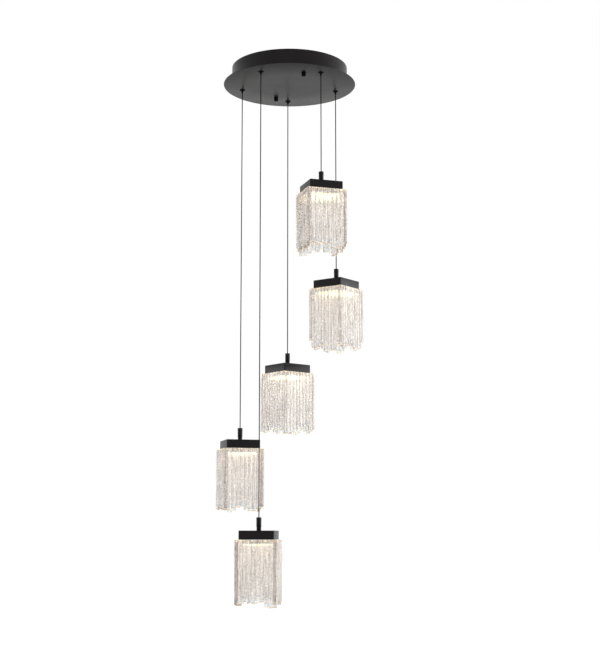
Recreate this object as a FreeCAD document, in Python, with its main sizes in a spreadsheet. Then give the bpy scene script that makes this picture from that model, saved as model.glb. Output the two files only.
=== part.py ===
import FreeCAD
import Part
import Sketcher
import math
import os

# Cluster pendant: five square shades of fused glass rods, hung at stepped heights on black cords
# from one round canopy. Millimetres, +Z up. The origin lies on the ceiling, on the canopy's axis,
# so the whole lamp is below z = 0. +X points to the hole of the second cord, and the crossbar
# inside the canopy runs along Y. Pendant 1 is the highest and pendant 5 the lowest.

Vector = FreeCAD.Vector
UP = Vector(0, 0, 1)

# Driving dimensions: alias, value, meaning. Lengths in millimetres, angles in degrees.
SIZES = (
    ("drum_diameter", 350, "outside of the canopy's round wall"),
    ("drum_height", 51, "ceiling to the top of the canopy disc"),
    ("drum_wall", 1.2, "sheet thickness of the drum"),
    ("disc_diameter", 400, "wide disc under the drum"),
    ("disc_thickness", 2, "sheet thickness of the disc"),
    ("cord_circle_radius", 151, "canopy axis to each cord"),
    ("bar_length", 272, "crossbar, along Y"),
    ("bar_width", 24, "crossbar, along X"),
    ("bar_thickness", 2.5, "crossbar sheet"),
    ("bar_corner", 5, "cut corners of the crossbar"),
    ("slot_spacing", 80, "centre to centre of the two ceiling slots"),
    ("slot_length", 26, "end to end of a ceiling slot"),
    ("slot_width", 5.2, "width of a ceiling slot"),
    ("stud_spacing", 246, "centre to centre of the two long studs"),
    ("stud_diameter", 4, "long studs, welded to the crossbar"),
    ("cap_nut_diameter", 13, "closed nut under the disc"),
    ("cap_nut_height", 10.5, "closed nut under the disc"),
    ("driver_length", 110, "LED driver, along X"),
    ("driver_width", 40, "LED driver, along Y"),
    ("driver_height", 26, "LED driver"),
    ("driver_corner", 4, "cut corners of the LED driver"),
    ("driver_room", 4.8, "LED driver's foot to the drum's wall, on the -X side"),
    ("foot_reach", 9, "feet of the LED driver, out from each end"),
    ("foot_width", 16, "feet of the LED driver"),
    ("foot_thickness", 2.5, "feet of the LED driver"),
    ("block_length", 56, "terminal block, along X"),
    ("block_width", 22, "terminal block, along Y"),
    ("block_height", 16, "terminal block"),
    ("block_step", 5, "step along the terminal block's top"),
    ("port_width", 5, "wire port in the terminal block's side"),
    ("port_height", 4, "wire port in the terminal block's side"),
    ("grip_flange_diameter", 17, "cord grip under the disc"),
    ("grip_flange_height", 2.5, "cord grip under the disc"),
    ("grip_neck_diameter", 6, "cord grip, lower neck"),
    ("grip_neck_length", 7, "cord grip, lower neck"),
    ("cord_diameter", 3, "round black cord"),
    ("drop_1", 340, "disc to the top of cap 1"),
    ("drop_2", 596, "disc to the top of cap 2"),
    ("drop_3", 840, "disc to the top of cap 3"),
    ("drop_4", 1078, "disc to the top of cap 4"),
    ("drop_5", 1342, "disc to the top of cap 5"),
    ("turn_1", -2.5, "head 1 about its cord"),
    ("turn_2", -57.2, "head 2 about its cord"),
    ("turn_3", 18.7, "head 3 about its cord"),
    ("turn_4", -5.3, "head 4 about its cord"),
    ("turn_5", -27.2, "head 5 about its cord"),
    ("sleeve_diameter", 14.8, "sleeve on the cap"),
    ("sleeve_height", 37, "sleeve on the cap"),
    ("cap_width", 100, "square black cap"),
    ("cap_height", 25, "square black cap"),
    ("cap_wall", 1.6, "sheet thickness of the cap"),
    ("cap_corner", 1.5, "broken upright edges of the cap"),
    ("carrier_width", 99.2, "plate that closes the cap"),
    ("carrier_thickness", 1.2, "plate that closes the cap"),
    ("lug_width", 30, "lug behind each glass panel"),
    ("lug_height", 9, "lug behind each glass panel"),
    ("spacer_width", 8, "hexagon spacer inside the cap, across flats"),
    ("boss_width", 16, "square boss of the light's tray"),
    ("boss_height", 9, "square boss of the light's tray"),
    ("tray_width", 82, "tray of the light"),
    ("tray_thickness", 1.6, "tray of the light"),
    ("diffuser_height", 4.6, "glowing square"),
    ("diffuser_wall", 1.3, "glowing square, sides and floor"),
    ("board_width", 74, "LED board"),
    ("board_thickness", 1.2, "LED board"),
    ("glass_thickness", 10.4, "back of a panel to the crest of a rod"),
    ("rib_rise", 3.6, "crest of a rod above the valley beside it"),
    ("corner_rod_diameter", 11.2, "rod at each corner, round on the outside"),
    ("glass_gap", 1, "cap to the glass"),
    ("rod_length", 175, "cap to the end of a rod of middling length"),
    ("thread_clearance", 0.05, "radial, between a stud and its nut"),
    ("hole_clearance", 0.25, "radial, round a stud that passes the disc"),
    ("glue_line", 0.3, "glass to its lug, and panel to panel"),
)
PENDANTS = (1, 2, 3, 4, 5)
CORDS = len(PENDANTS)
RODS = 8  # rods in a panel, beside its corner rod
# The round front of a rod in five flats: shares of the rod's width and of its rise.
ROD_FRONT = ((0, 0), (0.16, 0.62), (0.38, 1), (0.62, 1), (0.84, 0.62), (1, 0))
FACES = 4
PORTS = 6  # wire ports of the terminal block
STEP_ANGLE = 360 / CORDS
BREAK_ALLOWANCE = 2  # how far a cutting shape reaches past the glass

# Length of each rod, as a difference from rod_length: four panels for each pendant, each from its
# corner rod to its far end as seen from outside. The lower ends are snapped by hand.
SNAPPED = {
    1: (
        (-12, -11, -9, -13, -10, -12, 3, -3, -5),
        (-14, -6, -2, 4, -5, -9, -1, 3, -8),
        (1, -10, -10, -18, -9, -11, -3, 5, 7),
        (-16, -3, 2, -6, -12, -4, 1, -7, -2),
    ),
    2: (
        (-16, 7, 5, 1, -4, 3, 20, 18, 4),
        (5, 10, 9, 1, -1, 5, 10, 9, -14),
        (-14, 2, 8, 4, -7, -2, 6, 12, 3),
        (-6, 3, 11, 8, 1, -5, 4, 9, 1),
    ),
    3: (
        (16, 15, 13, 11, 3, -5, -10, -12, -1),
        (-1, 4, 9, 2, -6, -3, 5, 8, 1),
        (5, -2, -9, -4, 7, 3, -5, 2, 6),
        (3, 0, 1, -14, -7, -3, 1, 3, 5),
    ),
    4: (
        (6, 5, 1, -3, -5, -3, 7, 8, 2),
        (1, -4, -8, 3, 9, 5, -2, -6, 4),
        (-3, 6, 2, -9, -4, 5, 10, 1, -5),
        (1, 3, 0, -7, -3, 2, 3, 4, 5),
    ),
    5: (
        (3, 2, -6, -1, 0, -13, -5, 9, 11),
        (10, 1, 0, -5, 3, 2, -3, 5, 1),
        (-4, 3, 8, -6, -10, 2, 6, -3, -7),
        (4, -2, 5, 9, -4, -9, 1, 7, 2),
    ),
}


class Size:
    """A length or an angle, held both as a number and as the sheet formula that gives it."""

    def __init__(self, number, text):
        self.number = number
        self.text = text

    def __add__(self, other):
        other = as_size(other)
        return Size(self.number + other.number, f"({self.text} + {other.text})")

    def __sub__(self, other):
        other = as_size(other)
        return Size(self.number - other.number, f"({self.text} - {other.text})")

    def __mul__(self, other):
        other = as_size(other)
        return Size(self.number * other.number, f"({self.text} * {other.text})")

    def __truediv__(self, other):
        other = as_size(other)
        return Size(self.number / other.number, f"({self.text} / {other.text})")

    def __neg__(self):
        return Size(-self.number, f"(0 - {self.text})")


def root(value):
    return Size(math.sqrt(value.number), f"sqrt({value.text})")


def as_size(value):
    """A plain number is a size whose formula is itself."""
    if isinstance(value, Size):
        return value
    return Size(value, f"({value})")


document = FreeCAD.newDocument("cluster_pendant")
sheet = document.addObject("Spreadsheet::Sheet", "Sizes")
for row, (alias, value, meaning) in enumerate(SIZES, start=1):
    sheet.set(f"A{row}", meaning)
    sheet.set(f"B{row}", str(value))
    sheet.setAlias(f"B{row}", alias)
document.recompute()
size = {alias: Size(float(sheet.get(alias)), f"Sizes.{alias}") for alias, _, _ in SIZES}


def bind(thing, **sizes):
    """Ties properties of an object to the sheet."""
    for name, value in sizes.items():
        value = as_size(value)
        setattr(thing, name, value.number)
        thing.setExpression(name, value.text)


def place(thing, x=0, y=0, z=0, turn=0):
    """Puts an object at x, y, z and turns it about the vertical. The place is tied to the sheet."""
    x, y, z, turn = (as_size(value) for value in (x, y, z, turn))
    spot = Vector(x.number, y.number, z.number)
    thing.Placement = FreeCAD.Placement(spot, FreeCAD.Rotation(UP, turn.number))
    for axis, value in (("x", x), ("y", y), ("z", z)):
        thing.setExpression(f"Placement.Base.{axis}", value.text)
    return thing


def primitive(kind, label, **sizes):
    """A Part primitive with its sizes tied to the sheet."""
    thing = document.addObject(f"Part::{kind}", label)
    thing.Label = label
    bind(thing, **sizes)
    return thing


def group(label, things):
    """Separate solids that share one node."""
    thing = document.addObject("Part::Compound", label)
    thing.Label = label
    thing.Links = things
    return thing


def new_body(label):
    body = document.addObject("PartDesign::Body", label)
    body.Label = label
    return body


def origin_part(body, role):
    return next(f for f in body.Origin.OriginFeatures if f.Role == role)


def new_sketch(body, role="XY_Plane", lift=0):
    """A sketch on one of the body's own origin planes, or lift above it."""
    sketch = body.newObject("Sketcher::SketchObject", f"{body.Name}_sketch")
    sketch.AttachmentSupport = [(origin_part(body, role), "")]
    sketch.MapMode = "FlatFace"
    lift = as_size(lift)
    sketch.AttachmentOffset = FreeCAD.Placement(Vector(0, 0, lift.number), FreeCAD.Rotation())
    sketch.setExpression("AttachmentOffset.Base.z", lift.text)
    return sketch


def pin_point(sketch, geometry, end, point):
    """Dimensions one point of a sketch from the sketch's origin."""
    for kind, axis, value in (("DistanceX", -2, point[0]), ("DistanceY", -1, point[1])):
        if value.number == 0:
            sketch.addConstraint(Sketcher.Constraint("PointOnObject", geometry, end, axis))
            continue
        constraint = Sketcher.Constraint(kind, -1, 1, geometry, end, value.number)
        index = sketch.addConstraint(constraint)
        sketch.setExpression(f"Constraints[{index}]", value.text)


def draw_outline(sketch, points):
    """A closed outline of straight lines, every corner dimensioned."""
    points = [(as_size(x), as_size(y)) for x, y in points]
    spots = [Vector(x.number, y.number, 0) for x, y in points]
    first = sketch.GeometryCount
    count = len(points)
    for index in range(count):
        line = Part.LineSegment(spots[index], spots[(index + 1) % count])
        sketch.addGeometry(line, False)
    for index in range(count):
        following = first + (index + 1) % count
        sketch.addConstraint(Sketcher.Constraint("Coincident", first + index, 2, following, 1))
        pin_point(sketch, first + index, 1, points[index])


def draw_rectangle(sketch, width, length, x=0, y=0):
    """A rectangle about x, y: width along the sketch's X and length along its Y."""
    width, length, x, y = (as_size(value) for value in (width, length, x, y))
    low_x, high_x = x - width / 2, x + width / 2
    low_y, high_y = y - length / 2, y + length / 2
    draw_outline(sketch, ((low_x, low_y), (high_x, low_y), (high_x, high_y), (low_x, high_y)))


def draw_circle(sketch, diameter, x=0, y=0):
    x, y, radius = as_size(x), as_size(y), as_size(diameter) / 2
    circle = Part.Circle(Vector(x.number, y.number, 0), UP, radius.number)
    geometry = sketch.addGeometry(circle, False)
    pin_point(sketch, geometry, 3, (x, y))
    index = sketch.addConstraint(Sketcher.Constraint("Radius", geometry, radius.number))
    sketch.setExpression(f"Constraints[{index}]", radius.text)


def pad(body, sketch, length, down=False):
    feature = body.newObject("PartDesign::Pad", f"{body.Name}_pad")
    feature.Profile = sketch
    feature.Reversed = down
    bind(feature, Length=length)
    return feature


def pocket(body, sketch, length=None, up=False):
    """Cuts a sketch out of the body, by a length or right through, and tests that it did cut."""
    document.recompute()
    before = body.Shape.Volume
    feature = body.newObject("PartDesign::Pocket", f"{body.Name}_pocket")
    feature.Profile = sketch
    feature.Reversed = up
    if length is None:
        feature.Type = "ThroughAll"
    else:
        bind(feature, Length=length)
    document.recompute()
    if body.Shape.Volume >= before:
        raise ValueError(f"a pocket in {body.Label} cuts nothing")
    return feature


def revolve(body, outline):
    """Turns a half section, drawn as (radius, height), about the body's Z axis."""
    sketch = new_sketch(body, "XZ_Plane")
    draw_outline(sketch, outline)
    feature = body.newObject("PartDesign::Revolution", f"{body.Name}_turned")
    feature.Profile = sketch
    feature.ReferenceAxis = (sketch, ["V_Axis"])
    feature.Angle = 360
    return feature


def repeat_round(body, feature, count):
    pattern = body.newObject("PartDesign::PolarPattern", f"{body.Name}_round")
    pattern.Originals = [feature]
    pattern.Axis = (origin_part(body, "Z_Axis"), [""])
    pattern.Angle = 360
    pattern.Occurrences = count
    body.Tip = pattern
    return pattern


def edges_of(feature, wanted):
    """Names of the feature's edges that pass a test."""
    document.recompute()
    return [f"Edge{n}" for n, edge in enumerate(feature.Shape.Edges, start=1) if wanted(edge)]


def is_upright(edge):
    ends = [vertex.Point for vertex in edge.Vertexes]
    return len(ends) == 2 and (ends[1] - ends[0]).cross(UP).Length < 1e-6


def break_edges(body, base, edges, width):
    """Takes an even bevel off some edges of the body's last feature."""
    feature = body.newObject("PartDesign::Chamfer", f"{body.Name}_bevel")
    feature.Base = (base, edges)
    bind(feature, Size=width)
    body.Tip = feature
    return feature


# Levels and places that several pieces share.
disc_top = -size["drum_height"]
disc_under = disc_top - size["disc_thickness"]
pivot_height = disc_under - size["grip_flange_height"] - size["grip_neck_length"]
bar_under = -size["bar_thickness"]
stud_end = disc_under - size["cap_nut_height"] * 0.65
stud_y = size["stud_spacing"] / 2
thread_room = size["thread_clearance"] * 2
hole_room = size["hole_clearance"] * 2
carrier_top = -size["cap_height"]
carrier_under = carrier_top - size["carrier_thickness"]
tray_top = carrier_under - size["boss_height"]
tray_under = tray_top - size["tray_thickness"]
glass_back = size["carrier_width"] / 2 + size["glue_line"]
corner_radius = size["corner_rod_diameter"] / 2
corner_centre = glass_back + size["glass_thickness"] - corner_radius
corner_back = corner_radius - corner_centre
panel_end = -corner_back - size["glue_line"]
valley = size["rib_rise"] - glass_back - size["glass_thickness"]
melt = root(size["rib_rise"] * size["corner_rod_diameter"] - size["rib_rise"] * size["rib_rise"])
panel_start = melt - corner_centre  # here the corner rod's curve is level with the valleys
rod_pitch = (panel_end - panel_start) / RODS
longest_break = max(max(panel) for panels in SNAPPED.values() for panel in panels)
longest_rod = size["rod_length"] + longest_break


def cord_angle(pendant):
    """Direction of a cord's hole: cord 2 is on +X, and each next one is a fifth of a turn on."""
    return (pendant - 2) * STEP_ANGLE


def cord_place(pendant):
    angle = math.radians(cord_angle(pendant))
    radius = size["cord_circle_radius"]
    return radius * round(math.cos(angle), 12), radius * round(math.sin(angle), 12)


# ---------------------------------------------------------------- canopy


def canopy_drum():
    """Rolled wall of the canopy, which is seam-welded to the disc under it."""
    outside = size["drum_diameter"] / 2
    inside = outside - size["drum_wall"]
    body = new_body("canopy_drum")
    revolve(body, ((outside, 0), (outside, disc_top), (inside, disc_top), (inside, 0)))
    return body


def canopy_plate():
    """Wide disc with a hole for each long stud."""
    body = new_body("canopy_plate")
    outline = new_sketch(body, lift=disc_under)
    draw_circle(outline, size["disc_diameter"])
    pad(body, outline, size["disc_thickness"])
    holes = new_sketch(body, lift=disc_top)
    for side in (1, -1):
        draw_circle(holes, size["stud_diameter"] + hole_room, 0, stud_y * side)
    pocket(body, holes)
    return body


def draw_slot(sketch, width, length, y):
    """A slot along the sketch's Y, about the point 0, y."""
    half = length / 2 - width / 2
    radius = width / 2
    ends = [as_size(y) - half, as_size(y) + half]
    low, high = (end.number for end in ends)
    side = radius.number
    first = sketch.GeometryCount
    sketch.addGeometry(Part.LineSegment(Vector(side, low, 0), Vector(side, high, 0)), False)
    top = Part.Circle(Vector(0, high, 0), UP, side)
    sketch.addGeometry(Part.ArcOfCircle(top, 0, math.pi), False)
    sketch.addGeometry(Part.LineSegment(Vector(-side, high, 0), Vector(-side, low, 0)), False)
    bottom = Part.Circle(Vector(0, low, 0), UP, side)
    sketch.addGeometry(Part.ArcOfCircle(bottom, math.pi, 2 * math.pi), False)
    for index in range(4):
        following = first + (index + 1) % 4
        sketch.addConstraint(Sketcher.Constraint("Tangent", first + index, 2, following, 1))
    pin_point(sketch, first + 1, 3, (as_size(0), ends[1]))
    pin_point(sketch, first + 3, 3, (as_size(0), ends[0]))
    index = sketch.addConstraint(Sketcher.Constraint("Radius", first + 1, side))
    sketch.setExpression(f"Constraints[{index}]", radius.text)


def mounting_bracket():
    """Flat crossbar with two slots for the ceiling screws and two long welded studs."""
    body = new_body("mounting_bracket")
    outline = new_sketch(body)
    draw_rectangle(outline, size["bar_width"], size["bar_length"])
    bar = pad(body, outline, size["bar_thickness"], down=True)
    break_edges(body, bar, edges_of(bar, is_upright), size["bar_corner"])
    slots = new_sketch(body)
    for side in (1, -1):
        draw_slot(slots, size["slot_width"], size["slot_length"], size["slot_spacing"] / 2 * side)
    pocket(body, slots)
    studs = new_sketch(body, lift=bar_under)
    for side in (1, -1):
        draw_circle(studs, size["stud_diameter"], 0, stud_y * side)
    pad(body, studs, bar_under - stud_end, down=True)
    return body


def cap_nuts():
    """Two closed nuts that draw the canopy up against the ceiling."""
    height = size["cap_nut_height"]
    nuts = []
    for side, name in ((1, "cap_nut_a"), (-1, "cap_nut_b")):
        body = new_body(name)
        outline = new_sketch(body)
        draw_circle(outline, size["cap_nut_diameter"])
        pad(body, outline, height, down=True)
        bore = new_sketch(body)
        draw_circle(bore, size["stud_diameter"] + thread_room)
        pocket(body, bore, disc_under - stud_end + thread_room)
        nuts.append(place(body, 0, stud_y * side, disc_under))
    return group("cap_nuts", nuts)


def cord_grips():
    """Turned grips under the disc: a flange and a thin neck, out of which the cord hangs."""
    flange = size["grip_flange_diameter"] / 2
    neck = size["grip_neck_diameter"] / 2
    flange_under = -size["grip_flange_height"]
    bottom = flange_under - size["grip_neck_length"]
    section = (
        (0, 0),
        (flange, 0),
        (flange, flange_under),
        (neck, flange_under),
        (neck, bottom),
        (0, bottom),
    )
    grips = []
    for pendant in PENDANTS:
        body = new_body(f"cord_grip_{pendant}")
        revolve(body, section)
        grips.append(place(body, *cord_place(pendant), disc_under))
    return group("cord_grips", grips)


def led_driver():
    """Moulded box with a flat foot at each end, stuck to the disc inside the canopy."""
    body = new_body("led_driver")
    outline = new_sketch(body)
    draw_rectangle(outline, size["driver_length"], size["driver_width"])
    block = pad(body, outline, size["driver_height"])
    break_edges(body, block, edges_of(block, is_upright), size["driver_corner"])
    feet = new_sketch(body)
    draw_rectangle(feet, size["driver_length"] + size["foot_reach"] * 2, size["foot_width"])
    pad(body, feet, size["foot_thickness"])
    drum_inside = size["drum_diameter"] / 2 - size["drum_wall"]
    offset = drum_inside - size["driver_room"] - size["foot_reach"] - size["driver_length"] / 2
    return place(body, -offset, 0, disc_top)


def terminal_block():
    """Stepped block with a row of wire ports that run through it."""
    body = new_body("terminal_block")
    outline = new_sketch(body)
    draw_rectangle(outline, size["block_length"], size["block_width"])
    pad(body, outline, size["block_height"])
    steps = new_sketch(body, lift=size["block_height"])
    middle = size["block_width"] / 2 - size["block_step"] / 2
    for side in (1, -1):
        draw_rectangle(steps, size["block_length"], size["block_step"], 0, middle * side)
    pocket(body, steps, size["block_step"])
    pitch = size["block_length"] / PORTS
    first = pitch / 2 - size["block_length"] / 2
    level = (size["block_height"] - size["block_step"]) / 2
    port = new_sketch(body, "XZ_Plane", size["block_width"] / 2)
    draw_rectangle(port, size["port_width"], size["port_height"], first, level)
    row = body.newObject("PartDesign::LinearPattern", f"{body.Name}_row")
    row.Originals = [pocket(body, port)]
    row.Direction = (origin_part(body, "X_Axis"), [""])
    bind(row, Length=pitch * (PORTS - 1))
    row.Occurrences = PORTS
    body.Tip = row
    return place(body, 0, 0, disc_top)


# ---------------------------------------------------------------- one pendant
# Each piece of a head is drawn about its cord, with height 0 at the top of the cap.


def hang(thing, pendant, lift=0):
    """Places a piece of a head under its cord hole, at its drop and turned as it hangs."""
    height = disc_under - size[f"drop_{pendant}"] + lift
    return place(thing, *cord_place(pendant), height, size[f"turn_{pendant}"])


def cord(pendant):
    """Free stretch of cord, from the grip's neck to the top of the sleeve."""
    bottom = disc_under - size[f"drop_{pendant}"] + size["sleeve_height"]
    length = pivot_height - bottom
    thing = primitive(
        "Cylinder", f"cord_{pendant}", Radius=size["cord_diameter"] / 2, Height=length
    )
    return place(thing, *cord_place(pendant), bottom)


def sleeve(pendant):
    """Turned sleeve that clamps the cord, and on which the head turns."""
    thing = primitive(
        "Cylinder",
        f"sleeve_{pendant}",
        Radius=size["sleeve_diameter"] / 2,
        Height=size["sleeve_height"],
    )
    return hang(thing, pendant)


def cap(pendant):
    """Square cap, folded from sheet and open below."""
    body = new_body(f"cap_{pendant}")
    outline = new_sketch(body)
    draw_rectangle(outline, size["cap_width"], size["cap_width"])
    block = pad(body, outline, size["cap_height"], down=True)
    break_edges(body, block, edges_of(block, is_upright), size["cap_corner"])
    inside = new_sketch(body, lift=-size["cap_height"])
    width = size["cap_width"] - size["cap_wall"] * 2
    draw_rectangle(inside, width, width)
    pocket(body, inside, size["cap_height"] - size["cap_wall"], up=True)
    return hang(body, pendant)


def spacer(pendant):
    """Hexagon spacer that ties the carrier to the cap."""
    height = size["cap_height"] - size["cap_wall"]
    thing = primitive("Prism", f"spacer_{pendant}", Height=height)
    thing.Polygon = 6
    bind(thing, Circumradius=size["spacer_width"] / math.sqrt(3))
    return hang(thing, pendant, carrier_top)


def glass_carrier(pendant):
    """Plate across the cap's mouth, with a lug bent down behind each glass panel."""
    body = new_body(f"glass_carrier_{pendant}")
    outline = new_sketch(body, lift=carrier_under)
    draw_rectangle(outline, size["carrier_width"], size["carrier_width"])
    pad(body, outline, size["carrier_thickness"])
    lug = new_sketch(body, lift=carrier_under)
    middle = size["carrier_width"] / 2 - size["carrier_thickness"] / 2
    draw_rectangle(lug, size["lug_width"], size["carrier_thickness"], 0, middle)
    repeat_round(body, pad(body, lug, size["lug_height"], down=True), FACES)
    return hang(body, pendant)


def led_tray(pendant):
    """Cast tray with a square boss that holds it off the carrier."""
    body = new_body(f"led_tray_{pendant}")
    outline = new_sketch(body, lift=tray_under)
    draw_rectangle(outline, size["tray_width"], size["tray_width"])
    pad(body, outline, size["tray_thickness"])
    boss = new_sketch(body, lift=tray_top)
    draw_rectangle(boss, size["boss_width"], size["boss_width"])
    pad(body, boss, size["boss_height"])
    return hang(body, pendant)


def led_board(pendant):
    """Board with the LEDs, stuck under the tray."""
    body = new_body(f"led_board_{pendant}")
    outline = new_sketch(body, lift=tray_under)
    draw_rectangle(outline, size["board_width"], size["board_width"])
    pad(body, outline, size["board_thickness"], down=True)
    return hang(body, pendant)


def diffuser(pendant):
    """Shallow opal box that closes the light from below."""
    body = new_body(f"diffuser_{pendant}")
    outline = new_sketch(body, lift=tray_under)
    draw_rectangle(outline, size["tray_width"], size["tray_width"])
    pad(body, outline, size["diffuser_height"], down=True)
    inside = new_sketch(body, lift=tray_under)
    width = size["tray_width"] - size["diffuser_wall"] * 2
    draw_rectangle(inside, width, width)
    pocket(body, inside, size["diffuser_height"] - size["diffuser_wall"])
    return hang(body, pendant)


def draw_rod(sketch):
    """Section of one rod of a panel: flat at the back, and bulging outwards, which is the sketch's -Y."""
    front = [
        (panel_start + rod_pitch * across, valley - size["rib_rise"] * out) for across, out in ROD_FRONT
    ]
    back = [(panel_start + rod_pitch, -glass_back), (panel_start, -glass_back)]
    draw_outline(sketch, front + back)


def draw_corner_rod(sketch):
    """Section of a corner rod: round outside, and square where a rod and the next panel meet it."""
    corners = (
        (valley, corner_back),
        (valley, panel_start),
        (panel_start, valley),
        (panel_start, corner_back),
    )
    spots = [Vector(x.number, y.number, 0) for x, y in corners]
    outermost = corner_centre.number + corner_radius.number * math.sqrt(0.5)
    sketch.addGeometry(Part.LineSegment(spots[0], spots[1]), False)
    sketch.addGeometry(Part.Arc(spots[1], Vector(-outermost, -outermost, 0), spots[2]), False)
    sketch.addGeometry(Part.LineSegment(spots[2], spots[3]), False)
    sketch.addGeometry(Part.LineSegment(spots[3], spots[0]), False)
    sketch.addConstraint(Sketcher.Constraint("Coincident", 0, 2, 1, 1))
    sketch.addConstraint(Sketcher.Constraint("Coincident", 1, 2, 2, 1))
    sketch.addConstraint(Sketcher.Constraint("Coincident", 2, 2, 3, 1))
    sketch.addConstraint(Sketcher.Constraint("Coincident", 3, 2, 0, 1))
    for geometry, end, corner in ((0, 1, 0), (0, 2, 1), (2, 1, 2), (2, 2, 3)):
        pin_point(sketch, geometry, end, corners[corner])
    index = sketch.addConstraint(Sketcher.Constraint("Radius", 1, corner_radius.number))
    sketch.setExpression(f"Constraints[{index}]", corner_radius.text)


def snapped_outline(breaks):
    """What is cut off below the rods: a step for each rod, from the corner rod to the panel's end."""
    bottom = -size["cap_height"] - longest_rod - BREAK_ALLOWANCE
    sides = [-corner_centre - corner_radius - BREAK_ALLOWANCE]
    sides += [panel_start + rod_pitch * rod for rod in range(RODS)]
    sides += [panel_end + BREAK_ALLOWANCE]
    points = [(sides[0], bottom)]
    for rod, change in enumerate(breaks):
        height = -size["cap_height"] - size["rod_length"] - change
        if rod == 0 or change != breaks[rod - 1]:
            points.append((sides[rod], height))
        if rod == RODS or change != breaks[rod + 1]:
            points.append((sides[rod + 1], height))
    points.append((sides[-1], bottom))
    return points


def glass_panel(label, breaks):
    """One side of a shade: a corner rod and a row of rods, fused, with snapped lower ends."""
    body = new_body(label)
    top = -size["cap_height"] - size["glass_gap"]
    height = longest_rod - size["glass_gap"]
    rod_section = new_sketch(body, lift=top)
    draw_rod(rod_section)
    rod = pad(body, rod_section, height, down=True)
    row = body.newObject("PartDesign::LinearPattern", f"{body.Name}_row")
    row.Originals = [rod]
    row.Direction = (origin_part(body, "X_Axis"), [""])
    bind(row, Length=rod_pitch * (RODS - 1))
    row.Occurrences = RODS
    body.Tip = row
    corner_section = new_sketch(body, lift=top)
    draw_corner_rod(corner_section)
    pad(body, corner_section, height, down=True)
    ragged = new_sketch(body, "XZ_Plane")
    draw_outline(ragged, snapped_outline(breaks))
    pocket(body, ragged, up=True)
    return body


def glass(pendant):
    """Four panels round one head. Each ends against the next panel's corner rod."""
    panels = []
    for face, breaks in enumerate(SNAPPED[pendant]):
        panel = glass_panel(f"glass_{pendant}_panel_{face + 1}", breaks)
        panels.append(place(panel, turn=360 / FACES * face))
    return hang(group(f"glass_{pendant}", panels), pendant)


CANOPY_PIECES = (
    canopy_drum,
    canopy_plate,
    mounting_bracket,
    cap_nuts,
    cord_grips,
    led_driver,
    terminal_block,
)
HEAD_PIECES = (cord, sleeve, cap, spacer, glass_carrier, led_tray, led_board, diffuser, glass)

nodes = [make() for make in CANOPY_PIECES]
nodes += [make(pendant) for pendant in PENDANTS for make in HEAD_PIECES]
document.recompute()

for thing in document.Objects:
    if {"Invalid", "Error"} & set(thing.State):
        raise ValueError(f"{thing.Label} failed: {thing.State}")
os.makedirs("parts", exist_ok=True)
for node in nodes:
    if node.Shape.isNull() or not node.Shape.isValid():
        raise ValueError(f"{node.Label} has no valid shape")
for node in nodes:
    node.Shape.exportStep(f"parts/{node.Label}.step")
print(f"{len(nodes)} nodes, {sum(len(node.Shape.Solids) for node in nodes)} solids")
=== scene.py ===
# %% [markdown]
# # A cluster pendant with shades of fused glass rods
# Five square shades hang at stepped heights from one round black canopy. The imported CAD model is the
# frame: it says where every piece is and how it moves. This lesson dresses that frame. It keeps the
# small pieces that are already right, and makes finer ones for the canopy, the caps, the cords and
# above all the glass. Everything is in metres, with the ceiling at z = 0.

# %% Load the frame
import math

import bmesh
import bpy
from mathutils import Matrix, Vector


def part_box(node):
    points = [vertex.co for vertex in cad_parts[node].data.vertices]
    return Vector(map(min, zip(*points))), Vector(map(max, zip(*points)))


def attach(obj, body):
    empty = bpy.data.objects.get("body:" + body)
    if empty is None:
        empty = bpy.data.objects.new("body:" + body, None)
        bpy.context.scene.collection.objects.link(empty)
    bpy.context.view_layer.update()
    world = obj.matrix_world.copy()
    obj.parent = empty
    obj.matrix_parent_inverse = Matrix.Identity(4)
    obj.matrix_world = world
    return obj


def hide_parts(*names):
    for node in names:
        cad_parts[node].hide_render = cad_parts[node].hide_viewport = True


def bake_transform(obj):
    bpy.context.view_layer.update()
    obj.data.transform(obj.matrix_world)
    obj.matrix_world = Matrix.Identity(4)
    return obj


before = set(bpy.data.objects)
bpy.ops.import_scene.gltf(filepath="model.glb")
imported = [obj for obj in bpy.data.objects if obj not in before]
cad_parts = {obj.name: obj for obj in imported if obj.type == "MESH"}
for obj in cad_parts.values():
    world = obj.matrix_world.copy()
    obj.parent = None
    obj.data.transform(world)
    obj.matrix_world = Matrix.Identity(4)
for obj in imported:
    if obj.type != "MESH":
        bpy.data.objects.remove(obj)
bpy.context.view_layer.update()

MM = 0.001

# %% [markdown]
# ## Sizes that several pieces share
# The lamp's own numbers come first, in millimetres, because the pieces have to meet. Each pendant has a
# drop, from the canopy's disc to the top of its cap, and a turn, the angle at which its head came to
# rest on its cord. The cords stand on a circle, in five equal steps.

# %% Shared sizes
PENDANTS = (1, 2, 3, 4, 5)
DROP = {1: 340, 2: 596, 3: 840, 4: 1078, 5: 1342}
TURN = {1: -2.5, 2: -57.2, 3: 18.7, 4: -5.3, 5: -27.2}
CORD_CIRCLE = 151
DRUM_RADIUS, DRUM_WALL = 175, 1.2
DISC_RADIUS, DISC_TOP, DISC_UNDER = 200, -51, -53
STEP_ANGLE = 72
STUD_Y = 123
GRIP_END = -62.5
CORD_DIAMETER = 3
SLEEVE_HEIGHT = 37
CAP_HALF, CAP_HEIGHT, CAP_WALL = 50, 25, 1.6
SHRINK = Matrix.Scale(MM, 4)  # from millimetres to metres


def hang_point(pendant):
    """Where a pendant's cord meets the top of its cap, in millimetres."""
    angle = math.radians((pendant - 2) * STEP_ANGLE)
    x, y = CORD_CIRCLE * math.cos(angle), CORD_CIRCLE * math.sin(angle)
    return Vector((x, y, DISC_UNDER - DROP[pendant]))


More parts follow.
